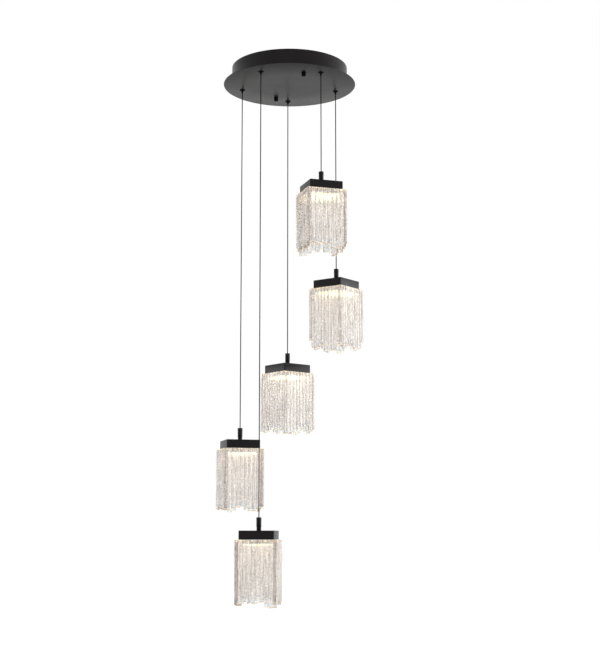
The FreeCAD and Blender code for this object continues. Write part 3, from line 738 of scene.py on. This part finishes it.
# %% Caps
inner = CAP_HALF - CAP_WALL
BEND, INNER_BEND = 3, 1.5  # radii of the upright edges
for pendant in PENDANTS:
    bm = bmesh.new()
    loft(bm, [
        rounded_square(inner, INNER_BEND, -CAP_WALL),
        rounded_square(inner, INNER_BEND, -CAP_HEIGHT + 0.2),
        rounded_square(inner + 0.2, INNER_BEND + 0.1, -CAP_HEIGHT),
        rounded_square(CAP_HALF - 0.3, BEND - 0.2, -CAP_HEIGHT),
        rounded_square(CAP_HALF, BEND, -CAP_HEIGHT + 0.3),
        rounded_square(CAP_HALF, BEND, -0.8),
        rounded_square(CAP_HALF - 0.25, BEND - 0.2, -0.25),
        rounded_square(CAP_HALF - 0.8, BEND - 0.6, 0),
    ])
    settle(bm, f"folded_cap_{pendant}", powder_coat, f"head_{pendant}", "black_metal",
           head_place(pendant), [f"cap_{pendant}"])
print("five caps")

# %% [markdown]
# ## Glowing squares
# The opal box under each tray is moulded, so its edges are soft. It has a wall and a floor of 1.3 mm
# and is open above, towards the LEDs.

# %% Glowing squares
TRAY_UNDER = -36.8
BOX_HALF, BOX_WALL, BOX_HEIGHT = 41, 1.3, 4.6
box_floor = TRAY_UNDER - BOX_HEIGHT
for pendant in PENDANTS:
    bm = bmesh.new()
    loft(bm, [
        rounded_square(BOX_HALF - BOX_WALL, 2, box_floor + BOX_WALL),
        rounded_square(BOX_HALF - BOX_WALL, 2, TRAY_UNDER),
        rounded_square(BOX_HALF, 3, TRAY_UNDER),
        rounded_square(BOX_HALF, 3, box_floor + 1),
        rounded_square(BOX_HALF - 0.3, 2.9, box_floor + 0.3),
        rounded_square(BOX_HALF - 1, 2.6, box_floor),
    ])
    settle(bm, f"opal_box_{pendant}", opal, f"head_{pendant}", "opal",
           head_place(pendant), [f"diffuser_{pendant}"])
print("five opal boxes")

# %% [markdown]
# ## Rod blanks
# A shade is four panels, and each panel is eight rods and a thicker corner rod. All rods start from two
# blanks: one flat at the back and round in front, and one that is round. A blank has enough rings along
# its length to be bent a little, and a plain lower end that the tree below snaps unevenly. Each of its
# points also stores how near it is to the seam with the next rod, for the glass.

# %% Rod blanks
GLASS_TOP = -26
BLANK_LENGTH, RINGS = 174, 26
PITCH = 12.284


def rod_blank(name, outline, seamward):
    """A closed rod that hangs down from z = 0, with a plain, slightly narrowed end. The outline is in
    millimetres.

    seamward says how near to the seam a point is, from 0 in the middle of the front to 1 at the seam.
    """
    levels = [(0, 0.9), (-0.5, 0.98), (-1.4, 1)]
    levels += [(-BLANK_LENGTH * k / RINGS, 1) for k in range(1, RINGS)]
    levels += [(0.8 - BLANK_LENGTH, 1), (-BLANK_LENGTH, 0.93)]
    middle = Vector([sum(values) / len(outline) for values in zip(*outline)])
    bm = bmesh.new()
    loft(bm, [
        [(middle.x + (x - middle.x) * share, middle.y + (y - middle.y) * share, z) for x, y in outline]
        for z, share in levels
    ])
    mesh = smooth_mesh(bm, name, sharp=50)
    nearness = [min(1.0, seamward(vertex.co)) for vertex in mesh.vertices]
    mesh.attributes.new("across", "FLOAT", "POINT").data.foreach_set("value", nearness)
    mesh.transform(SHRINK)
    return new_object(name, mesh)


FRONT_EDGE, FRONT_RISE = -56.3, 3.8  # where the round front starts, and how far it comes forward
BACK_EDGE, BACK = -52.2, -50.0  # where the back's corners start, and the flat back itself
CORNER_ROD_RADIUS = 5.4
half = PITCH / 2 + 0.05
angles = [math.radians(15 * k) for k in range(13)]
front = [(half * math.cos(a), FRONT_EDGE - FRONT_RISE * math.sin(a)) for a in angles]
rear = [(-half, BACK_EDGE), (-half * 0.8, BACK - 0.6), (-half * 0.4, BACK)]
rear += [(-x, y) for x, y in reversed(rear)]
angles = [math.radians(20 * k) for k in range(18)]
circle = [(CORNER_ROD_RADIUS * math.cos(a), CORNER_ROD_RADIUS * math.sin(a)) for a in angles]
outwards = Vector((-1, -1)).normalized()
flat_rod = rod_blank("flat_rod", front + rear, lambda p: abs(p.x) / half)
round_rod = rod_blank("round_rod", circle, lambda p: p.xy.angle(outwards, 0) / (math.pi / 2))
print("blanks:", len(flat_rod.data.polygons), "and", len(round_rod.data.polygons), "faces")

# %% [markdown]
# ## The rule of a shade: the rods
# The tree takes one point for each rod, placed at the rod's top, with its length, the panel's turn and
# whether it is a corner. It puts the right blank on every point, stretches it to the rod's length and
# makes it real. The names of the inputs say what each does.

# %% Shade tree: rods
shade, given, result = new_tree("fused_rods", (
    ("Flat rod", "NodeSocketObject"), ("Round rod", "NodeSocketObject"), ("Blank length", "NodeSocketFloat"),
    ("Top", "NodeSocketFloat"), ("Bend", "NodeSocketFloat"), ("Snap", "NodeSocketFloat"),
    ("Seed", "NodeSocketFloat"), ("Glass", "NodeSocketMaterial"),
))
length = add(shade, "GeometryNodeInputNamedAttribute", {"Name": "length"}, data_type="FLOAT")
turn = add(shade, "GeometryNodeInputNamedAttribute", {"Name": "turn"}, data_type="FLOAT")
corner = add(shade, "GeometryNodeInputNamedAttribute", {"Name": "corner"}, data_type="BOOLEAN")
stretch = add(shade, "ShaderNodeMath", {
    0: length.outputs["Attribute"], 1: given.outputs["Blank length"],
}, operation="DIVIDE")
scale = add(shade, "ShaderNodeCombineXYZ", {"X": 1.0, "Y": 1.0, "Z": stretch.outputs[0]})
angle = add(shade, "ShaderNodeCombineXYZ", {"Z": turn.outputs["Attribute"]})
straight = add(shade, "FunctionNodeBooleanMath", {0: corner.outputs["Attribute"]}, operation="NOT")
join = add(shade, "GeometryNodeJoinGeometry")
for label, chosen in (("Flat rod", straight.outputs[0]), ("Round rod", corner.outputs["Attribute"])):
    blank = add(shade, "GeometryNodeObjectInfo", {"Object": given.outputs[label]})
    rods = add(shade, "GeometryNodeInstanceOnPoints", {
        "Points": given.outputs["Geometry"], "Selection": chosen, "Instance": blank.outputs["Geometry"],
        "Rotation": angle.outputs[0], "Scale": scale.outputs[0],
    })
    shade.links.new(rods.outputs["Instances"], join.inputs["Geometry"])
real = add(shade, "GeometryNodeRealizeInstances", {"Geometry": join.outputs["Geometry"]})
print("placing the rods:", len(shade.nodes), "nodes so far")

# %% [markdown]
# ## The rule of a shade: distances for the glass
# The glass is clear at a rod's end and glows near its top, so its material has to know where a point is.
# The tree stores that while the rods are still straight: how far a point is above its rod's end, and
# how far below the top.

# %% Shade tree: distances
spot = add(shade, "GeometryNodeInputPosition")
height = add(shade, "ShaderNodeSeparateXYZ", {0: spot.outputs[0]})
rod_end = add(shade, "ShaderNodeMath", {
    0: given.outputs["Top"], 1: length.outputs["Attribute"],
}, operation="SUBTRACT")
above = add(shade, "ShaderNodeMath", {0: height.outputs["Z"], 1: rod_end.outputs[0]}, operation="SUBTRACT")
ended = add(shade, "GeometryNodeStoreNamedAttribute", {
    "Geometry": real.outputs["Geometry"], "Name": "to_end", "Value": above.outputs[0],
}, data_type="FLOAT", domain="POINT")
below = add(shade, "ShaderNodeMath", {0: given.outputs["Top"], 1: height.outputs["Z"]}, operation="SUBTRACT")
kept = add(shade, "GeometryNodeStoreNamedAttribute", {
    "Geometry": ended.outputs["Geometry"], "Name": "from_top", "Value": below.outputs[0],
}, data_type="FLOAT", domain="POINT")
print("storing the distances:", len(shade.nodes), "nodes so far")

# %% [markdown]
# ## The rule of a shade: bend and snap
# Drawn glass is never quite straight, and it snaps unevenly. A soft noise, 30 mm wide, moves each point
# sideways by a fraction of a millimetre. A finer one, 11 mm wide, lifts the points near an end, most at
# the end itself and none from 14 mm above it, so the break runs at an angle. Both noises read a point's
# place and the seed, so no two rods are alike.

# %% Shade tree: bend and snap
wander = add(shade, "ShaderNodeTexNoise", {
    "Vector": spot.outputs[0], "W": given.outputs["Seed"], "Scale": 1 / (30 * MM), "Detail": 2.0,
}, noise_dimensions="4D")
centred = add(shade, "ShaderNodeVectorMath", {
    0: wander.outputs["Color"], 1: (0.5, 0.5, 0.5),
}, operation="SUBTRACT")
level = add(shade, "ShaderNodeVectorMath", {0: centred.outputs[0], 1: (1.0, 1.0, 0.0)}, operation="MULTIPLY")
bend = add(shade, "ShaderNodeVectorMath", {
    0: level.outputs[0], "Scale": given.outputs["Bend"],
}, operation="SCALE")
jag = add(shade, "ShaderNodeTexNoise", {
    "Vector": spot.outputs[0], "W": given.outputs["Seed"], "Scale": 1 / (11 * MM), "Detail": 1.5,
}, noise_dimensions="4D")
near = add(shade, "ShaderNodeMapRange", {
    "Value": above.outputs[0], "From Min": 0.0, "From Max": 14 * MM, "To Min": 1.0, "To Max": 0.0,
})
jagged = add(shade, "ShaderNodeMapRange", {
    "Value": jag.outputs["Fac"], "From Min": 0.3, "From Max": 0.7, "To Min": 0.0, "To Max": 1.0,
})
snap = add(shade, "ShaderNodeMath", {
    0: near.outputs["Result"], 1: jagged.outputs["Result"],
}, operation="MULTIPLY")
rise = add(shade, "ShaderNodeMath", {0: snap.outputs[0], 1: given.outputs["Snap"]}, operation="MULTIPLY")
lifted = add(shade, "ShaderNodeCombineXYZ", {"Z": rise.outputs[0]})
move = add(shade, "ShaderNodeVectorMath", {0: bend.outputs[0], 1: lifted.outputs[0]}, operation="ADD")
bent = add(shade, "GeometryNodeSetPosition", {
    "Geometry": kept.outputs["Geometry"], "Offset": move.outputs[0],
})
glazed = add(shade, "GeometryNodeSetMaterial", {
    "Geometry": bent.outputs["Geometry"], "Material": given.outputs["Glass"],
})
shade.links.new(glazed.outputs["Geometry"], result.inputs["Geometry"])
print("shade tree:", len(shade.nodes), "nodes")

# %% [markdown]
# ## Five shades
# The rods' ends are snapped by hand, so no two are alike. The table gives each rod's length as a
# difference from a middling one, which ends 175 mm below its cap. Each pendant has four panels, and each
# panel runs from its corner rod to its far end. Two of the panels face the camera and follow the
# photograph, and the others are in the same spirit.

# %% Shades
SNAPPED = {
    1: ((-12, -11, -9, -13, -10, -12, 3, -3, -5), (-14, -6, -2, 4, -5, -9, -1, 3, -8),
        (1, -10, -10, -18, -9, -11, -3, 5, 7), (-16, -3, 2, -6, -12, -4, 1, -7, -2)),
    2: ((-16, 7, 5, 1, -4, 3, 20, 18, 4), (5, 10, 9, 1, -1, 5, 10, 9, -14),
        (-14, 2, 8, 4, -7, -2, 6, 12, 3), (-6, 3, 11, 8, 1, -5, 4, 9, 1)),
    3: ((16, 15, 13, 11, 3, -5, -10, -12, -1), (-1, 4, 9, 2, -6, -3, 5, 8, 1),
        (5, -2, -9, -4, 7, 3, -5, 2, 6), (3, 0, 1, -14, -7, -3, 1, 3, 5)),
    4: ((6, 5, 1, -3, -5, -3, 7, 8, 2), (1, -4, -8, 3, 9, 5, -2, -6, 4),
        (-3, 6, 2, -9, -4, 5, 10, 1, -5), (1, 3, 0, -7, -3, 2, 3, 4, 5)),
    5: ((3, 2, -6, -1, 0, -13, -5, 9, 11), (10, 1, 0, -5, 3, 2, -3, 5, 1),
        (-4, 3, 8, -6, -10, 2, 6, -3, -7), (4, -2, 5, 9, -4, -9, 1, 7, 2)),
}
PANEL_START, CORNER = -49.469, -54.7  # the first flat rod's edge along a panel, and the corner rod's middle
BELOW_CAP = 175  # from a cap's lower edge to the end of a middling rod
MIDDLING = BELOW_CAP + CAP_HEIGHT + GLASS_TOP

for pendant in PENDANTS:
    place = head_place(pendant)
    tops, lengths, turns, corners = [], [], [], []
    for face, breaks in enumerate(SNAPPED[pendant]):
        panel = place @ Matrix.Rotation(math.pi / 2 * face, 4, "Z")
        for rod, change in enumerate(breaks):
            x = CORNER if rod == 0 else PANEL_START + PITCH * (rod - 0.5)
            y = CORNER if rod == 0 else 0
            tops.append(panel @ Vector((x, y, GLASS_TOP)))
            lengths.append((MIDDLING + change) * MM)
            turns.append(math.radians(TURN[pendant]) + math.pi / 2 * face)
            corners.append(rod == 0)
    mesh = bpy.data.meshes.new(f"rod_tops_{pendant}")
    mesh.from_pydata(tops, [], [])
    notes = (("length", "FLOAT", lengths), ("turn", "FLOAT", turns), ("corner", "BOOLEAN", corners))
    for label, kind, values in notes:
        mesh.attributes.new(label, kind, "POINT").data.foreach_set("value", values)
    glass = grow(f"fused_rods_{pendant}", mesh, shade, {
        "Flat rod": flat_rod, "Round rod": round_rod, "Blank length": BLANK_LENGTH * MM, "Top": tops[0].z,
        "Bend": 0.7 * MM, "Snap": 1.5 * MM, "Seed": float(pendant * 7), "Glass": rod_glass,
    })
    dress(glass, f"head_{pendant}", "rod_glass", [f"glass_{pendant}"])
    print("shade", pendant, len(glass.data.vertices), "points")
bpy.data.objects.remove(flat_rod)
bpy.data.objects.remove(round_rod)

# %% [markdown]
# ## Two kinds of screw
# The canopy is open above, where the ceiling covers it. From there the driver and the terminal block
# show, so they get their screws: a pan head with a cross on each foot of the driver, and slotted screws
# on the steps of the terminal block. A head is lathe work. Its slots are too fine to be cut here, so
# each is a thin black bar of painted shade let into the head, and an attribute remembers which faces carry
# it.

# %% One screw of each kind


def screw(name, radius, height, slot_angles):
    """A pan head on z = 0 with a slot at each of the angles, given in millimetres and degrees."""
    bm = bmesh.new()
    lathe(bm, [
        (0, height), (radius * 0.6, height), (radius * 0.92, height * 0.7), (radius, height * 0.3),
        (radius, 0), (0, 0),
    ], 20)
    # Painted shade: the bars that stand for the slots are marked here, to be painted black.
    slotted = bm.faces.layers.bool.new("slotted")
    for angle in slot_angles:
        before = set(bm.verts)
        bmesh.ops.create_cube(bm, size=1)
        bar = [v for v in bm.verts if v not in before]
        bmesh.ops.scale(bm, vec=(radius * 1.24, radius * 0.24, 0.12), verts=bar)
        bmesh.ops.translate(bm, vec=(0, 0, height - 0.02), verts=bar)
        turn = Matrix.Rotation(math.radians(angle), 3, "Z")
        bmesh.ops.rotate(bm, cent=(0, 0, 0), matrix=turn, verts=bar)
        for face in {f for v in bar for f in v.link_faces}:
            face[slotted] = True
    mesh = smooth_mesh(bm, name)
    mesh.transform(SHRINK)
    return new_object(name, mesh)


foot_screw = screw("foot_screw", radius=3.2, height=1.6, slot_angles=(0, 90))
wire_screw = screw("wire_screw", radius=1.9, height=1.0, slot_angles=(35,))
print("screws:", len(foot_screw.data.polygons), "and", len(wire_screw.data.polygons), "faces")

# %% [markdown]
# ## Screws in rows
# The driver has one screw at each end, and the terminal block has two rows, one screw for each wire. Both
# are a grid of points, so one tree does both: a grid with an instance on each point, then real geometry,
# its finish, and the painted shade in the slots.

# %% Screws
rows, given, result = new_tree("pieces_in_rows", (
    ("Piece", "NodeSocketObject"), ("Columns", "NodeSocketInt"), ("Rows", "NodeSocketInt"),
    ("Length", "NodeSocketFloat"), ("Width", "NodeSocketFloat"), ("Middle", "NodeSocketVector"),
    ("Finish", "NodeSocketMaterial"), ("Slot shade", "NodeSocketMaterial"),
))
grid = add(rows, "GeometryNodeMeshGrid", {
    "Size X": given.outputs["Length"], "Size Y": given.outputs["Width"],
    "Vertices X": given.outputs["Columns"], "Vertices Y": given.outputs["Rows"],
})
placed = add(rows, "GeometryNodeTransform", {
    "Geometry": grid.outputs["Mesh"], "Translation": given.outputs["Middle"],
})
piece = add(rows, "GeometryNodeObjectInfo", {"Object": given.outputs["Piece"]})
copies = add(rows, "GeometryNodeInstanceOnPoints", {
    "Points": placed.outputs["Geometry"], "Instance": piece.outputs["Geometry"],
})
real = add(rows, "GeometryNodeRealizeInstances", {"Geometry": copies.outputs["Instances"]})
painted = add(rows, "GeometryNodeSetMaterial", {
    "Geometry": real.outputs["Geometry"], "Material": given.outputs["Finish"],
})
# Painted shade: the slots' faces get a black finish, where a real slot would only be in shade.
slotted = add(rows, "GeometryNodeInputNamedAttribute", {"Name": "slotted"}, data_type="BOOLEAN")
shaded_slots = add(rows, "GeometryNodeSetMaterial", {
    "Geometry": painted.outputs["Geometry"], "Selection": slotted.outputs["Attribute"],
    "Material": given.outputs["Slot shade"],
})
rows.links.new(shaded_slots.outputs["Geometry"], result.inputs["Geometry"])

driver_low, driver_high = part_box("led_driver")
FOOT_THICKNESS, FOOT_MIDDLE = 2.5 * MM, 4.5 * MM
feet = grow("driver_screws", bpy.data.meshes.new("nothing"), rows, {
    "Piece": foot_screw, "Columns": 2, "Rows": 1,
    "Length": driver_high.x - driver_low.x - 2 * FOOT_MIDDLE, "Width": 0.0,
    "Middle": ((driver_low.x + driver_high.x) / 2, 0, driver_low.z + FOOT_THICKNESS),
    "Finish": zinc, "Slot shade": powder_coat,
})
dress(feet, "canopy", "zinc_steel")

PORTS = 6
STEP_HEIGHT, STEP_MIDDLE = 11 * MM, 8.5 * MM
block_low, block_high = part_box("terminal_block")
terminals = grow("terminal_screws", bpy.data.meshes.new("nothing"), rows, {
    "Piece": wire_screw, "Columns": PORTS, "Rows": 2,
    "Length": (block_high.x - block_low.x) * (PORTS - 1) / PORTS, "Width": 2 * STEP_MIDDLE,
    "Middle": (0, 0, block_low.z + STEP_HEIGHT), "Finish": brass, "Slot shade": powder_coat,
})
dress(terminals, "canopy", "white_housing")
for piece in (foot_screw, wire_screw):
    bpy.data.objects.remove(piece)
print("driver:", len(feet.data.polygons), "faces, terminals:", len(terminals.data.polygons), "faces")

# %% [markdown]
# ## Finishes for the pieces that stay as they are
# The crossbar, the driver, the terminal block and the small plates inside each head are right in the
# CAD model. They only need the finish that the real ones have.

# %% Finish the CAD pieces
FINISH = {
    "mounting_bracket": zinc, "spacer": zinc, "glass_carrier": aluminium, "led_tray": aluminium,
    "led_board": white_abs, "led_driver": white_abs, "terminal_block": white_abs, "sleeve": powder_coat,
    "cap": powder_coat, "cap_nuts": blackened, "cord_grips": blackened, "canopy_drum": powder_coat,
    "canopy_plate": powder_coat, "cord": sheath, "diffuser": opal, "glass": rod_glass,
}
for name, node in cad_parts.items():
    kind = name if name in FINISH else name.rstrip("12345").rstrip("_")
    for slot in node.material_slots:
        slot.material = FINISH[kind]
print("finished", len(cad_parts), "CAD pieces")

# %% [markdown]
# ## A pale floor
# A lamp like this is photographed on white. A pale painted floor lies well below it and reaches far out.
# To the camera it is a little brighter than its paint alone, and more so far out, where the lamps don't
# reach. So it runs into the backdrop without a line, and it keeps the pendant's soft shadow. Near the lamp
# it is lifted least, which leaves a painted pool of shade there, a little darker than the floor round it.

# %% Floor
FLOOR_HEIGHT, FLOOR_REACH = -2.35, 40.0  # metres


def picture_rays(tree):
    """1 for what the camera, a mirror or glass sees, and 0 for the light that falls on the lamp."""
    path = add(tree, "ShaderNodeLightPath").outputs
    direct = add(tree, "ShaderNodeMath", {
        0: path["Is Camera Ray"], 1: path["Is Glossy Ray"],
    }, operation="MAXIMUM")
    return add(tree, "ShaderNodeMath", {
        0: direct.outputs[0], 1: path["Is Transmission Ray"],
    }, operation="MAXIMUM").outputs[0]


floor_mesh = bpy.data.meshes.new("floor")
corners = [(x * FLOOR_REACH, y * FLOOR_REACH, FLOOR_HEIGHT) for x, y in ((-1, -1), (1, -1), (1, 1), (-1, 1))]
floor_mesh.from_pydata(corners, [], [(0, 1, 2, 3)])
floor = new_object("floor", floor_mesh)
floor_paint, tree, output, place = new_material("pale_floor_paint")
away = add(tree, "ShaderNodeVectorMath", {0: place}, operation="LENGTH")
# Painted shade: the lift is smallest near the lamp, a darker pool under it, and far out it evens the floor.
far_lift_near_pool = add(tree, "ShaderNodeMapRange", {
    "Value": away.outputs["Value"], "From Min": 2.5, "From Max": 3.6, "To Min": 0.1, "To Max": 0.6,
})
lift = add(tree, "ShaderNodeMath", {0: picture_rays(tree), 1: far_lift_near_pool.outputs["Result"]}, operation="MULTIPLY")
mottle = add(tree, "ShaderNodeTexNoise", {"Vector": place, "Scale": 1 / (500 * MM)})
tint = add(tree, "ShaderNodeValToRGB", {"Fac": mottle.outputs["Fac"]})
tint.color_ramp.elements[0].color = linear("dedddb")
tint.color_ramp.elements[1].color = linear("e3e2e0")
paint = add(tree, "ShaderNodeBsdfDiffuse", {"Color": tint.outputs["Color"]})
extra = add(tree, "ShaderNodeEmission", {"Color": (1, 1, 1, 1), "Strength": lift.outputs[0]})
total = add(tree, "ShaderNodeAddShader", {0: paint.outputs[0], 1: extra.outputs[0]})
tree.links.new(total.outputs[0], output.inputs["Surface"])
floor_mesh.materials.append(floor_paint)
print("floor at", FLOOR_HEIGHT, "m")

# %% [markdown]
# ## The world
# The world is both the backdrop and the even light from all round. It is white where the camera, a
# mirror or glass sees it, and a softer light for everything else. So the backdrop can be white without
# more light on the lamp.

# %% World
world = bpy.data.worlds.new("studio")
bpy.context.scene.world = world
world.use_nodes = True
tree = world.node_tree
tree.nodes.clear()
output = add(tree, "ShaderNodeOutputWorld")
level = add(tree, "ShaderNodeMapRange", {"Value": picture_rays(tree), "To Min": 0.62, "To Max": 1.0})
sky = add(tree, "ShaderNodeBackground", {"Color": (1, 1, 1, 1), "Strength": level.outputs["Result"]})
tree.links.new(sky.outputs[0], output.inputs["Surface"])
print("made", world.name)

# %% [markdown]
# ## Three soft boxes
# Two large soft boxes stand left and right, so that the caps' sides shine. A third gives an even light
# from above and in front. It shows in no reflection, so the caps' fronts stay black.

# %% Soft boxes
LAMP_MIDDLE = Vector((0, 0, -0.8))


def soft_box(name, spot, width, watts):
    """A square area light that points at the lamp's middle and that the camera doesn't see."""
    data = bpy.data.lights.new(name, "AREA")
    data.size = width
    data.energy = watts
    light = new_object(name, data)
    light.location = spot
    light.rotation_euler = (LAMP_MIDDLE - Vector(spot)).to_track_quat("-Z", "Y").to_euler()
    light.visible_camera = False
    print(name, "at", spot)
    return light


soft_box("soft_box_left", (-3.0, 1.9, -0.9), 2.0, 50)
soft_box("soft_box_right", (3.4, -1.1, -0.8), 3.2, 170)
front = soft_box("soft_box_front", (-2.2, -3.4, 1.4), 2.4, 38)
front.visible_glossy = False
